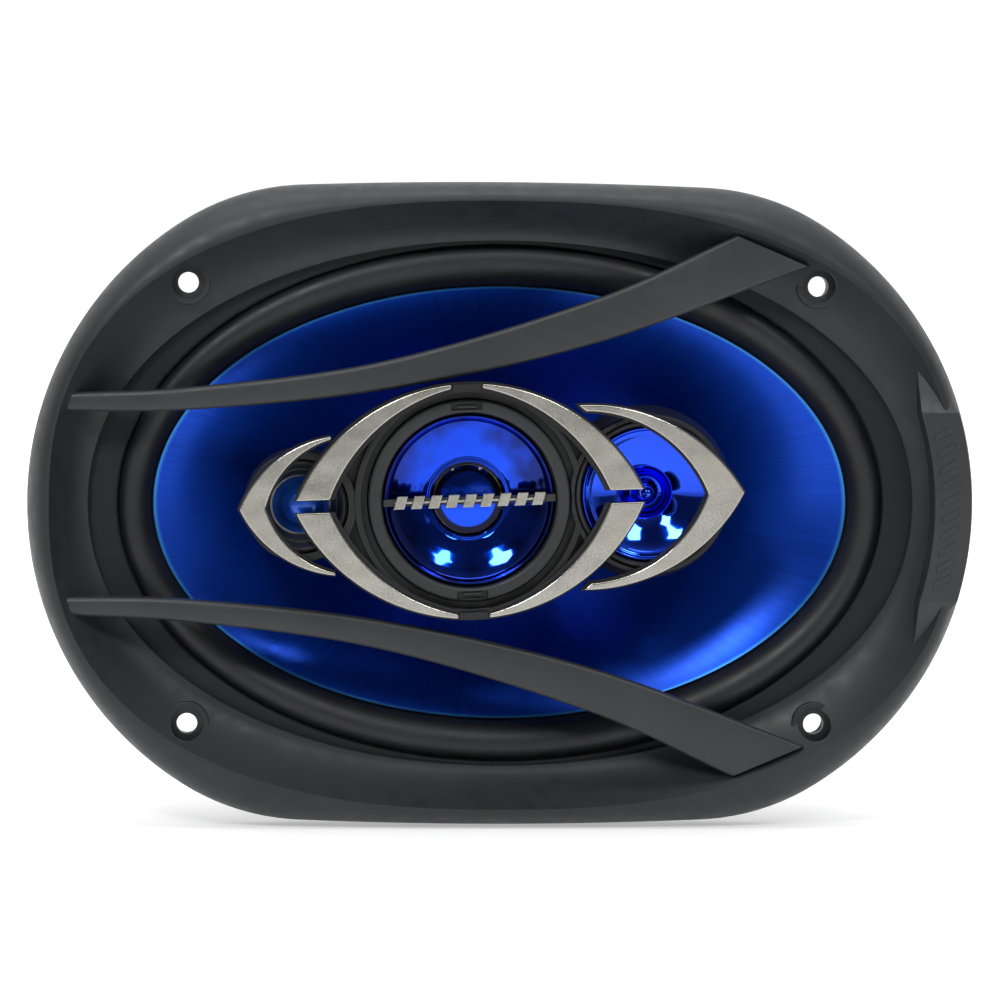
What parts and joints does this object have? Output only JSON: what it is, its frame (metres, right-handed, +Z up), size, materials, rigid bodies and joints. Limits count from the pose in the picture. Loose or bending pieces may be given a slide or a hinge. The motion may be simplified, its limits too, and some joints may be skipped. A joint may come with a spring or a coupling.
{
  "type": "coaxial car speaker",
  "caption": "Oval coaxial car speaker with a barred grille, a blue cone and a centre pod that carries a midrange and two tweeters.",
  "frame": {"origin": "on the woofer's axis, in the plane of the basket flange's rear face", "axes": "+X to the right seen from the front, along the oval; +Y backwards, towards the magnet; +Z up"},
  "size_m": [0.249, 0.1105, 0.169],
  "materials": {
    "grille_plastic": "fine matt grain, black",
    "pod_plastic": "satin black",
    "black_rubber": "satin black rubber",
    "gasket_board": "black gasket board",
    "blue_metallised": "metallised polypropylene film, radial sheen",
    "blue_mirror": "blue mirror metallising",
    "polished_trim": "satin metallised plastic",
    "black_steel": "black powder coat",
    "zinc_steel": "zinc plate",
    "ferrite": "ground ferrite",
    "copper": "enamelled copper wire",
    "spider_cloth": "resin-stiffened cloth",
    "coil_film": "amber polyimide film",
    "fibre_board": "phenolic fibre board",
    "tin_plate": "tin plate",
    "capacitor_film": "yellow capacitor film",
    "lead_braid": "woven copper tinsel",
    "lead_sleeve": "black sleeve"
  },
  "bodies": {
    "chassis": {"grille_frame": "grille_plastic", "basket": "black_steel", "surround_gasket": "gasket_board", "top_plate": "zinc_steel", "magnet": "ferrite", "back_plate": "zinc_steel", "pod_stem": "zinc_steel", "stem_nut": "zinc_steel", "terminal_board": "fibre_board", "terminal_positive": "tin_plate", "terminal_negative": "tin_plate", "pod_lead": "lead_sleeve", "crossover_capacitor_mid": "capacitor_film", "crossover_capacitor_tweeter": "capacitor_film", "pod_housing": "pod_plastic", "pod_bezel": "pod_plastic", "mid_frame": "pod_plastic", "mid_magnet": "zinc_steel", "tweeter_right_ring": "pod_plastic", "tweeter_right_reflector": "blue_mirror", "tweeter_right_bullet": "blue_mirror", "tweeter_right_magnet": "zinc_steel", "tweeter_left_ring": "pod_plastic", "tweeter_left_magnet": "zinc_steel", "badge_bar": "pod_plastic", "badge_ribs": "polished_trim", "arc_trim_upper_left": "polished_trim", "arc_trim_upper_right": "polished_trim", "arc_trim_lower_left": "polished_trim", "arc_trim_lower_right": "polished_trim", "crescent_trim_left": "polished_trim", "crescent_trim_right": "polished_trim"},
    "woofer": {"woofer_cone": "blue_metallised", "voice_coil_former": "coil_film", "voice_coil": "copper", "surround": "black_rubber", "spider": "spider_cloth", "tinsel_lead_positive": "lead_braid", "tinsel_lead_negative": "lead_braid"},
    "mid_cone": {"mid_diaphragm": "blue_mirror", "mid_dust_cap": "blue_mirror", "mid_voice_coil": "copper"},
    "tweeter_right_cone": {"tweeter_right_diaphragm": "blue_mirror", "tweeter_right_coil": "copper"},
    "tweeter_left_cone": {"tweeter_left_dome": "blue_mirror", "tweeter_left_coil": "copper"}
  },
  "joints": [
    {"name": "woofer_travel", "type": "slide", "parent": "chassis", "child": "woofer", "axis": [0, 1, 0], "range_m": [-0.005, 0.005], "stiffness_N_per_m": 1800, "deforming": ["surround", "spider", "tinsel_lead_positive", "tinsel_lead_negative"]},
    {"name": "mid_travel", "type": "slide", "parent": "chassis", "child": "mid_cone", "axis": [0, 1, 0], "range_m": [-0.0006, 0.0006], "stiffness_N_per_m": 3000},
    {"name": "tweeter_right_travel", "type": "slide", "parent": "chassis", "child": "tweeter_right_cone", "axis": [0, 1, 0], "range_m": [-0.0002, 0.0002], "stiffness_N_per_m": 2500},
    {"name": "tweeter_left_travel", "type": "slide", "parent": "chassis", "child": "tweeter_left_cone", "axis": [0, 1, 0], "range_m": [-0.00015, 0.00015], "stiffness_N_per_m": 2500}
  ]
}
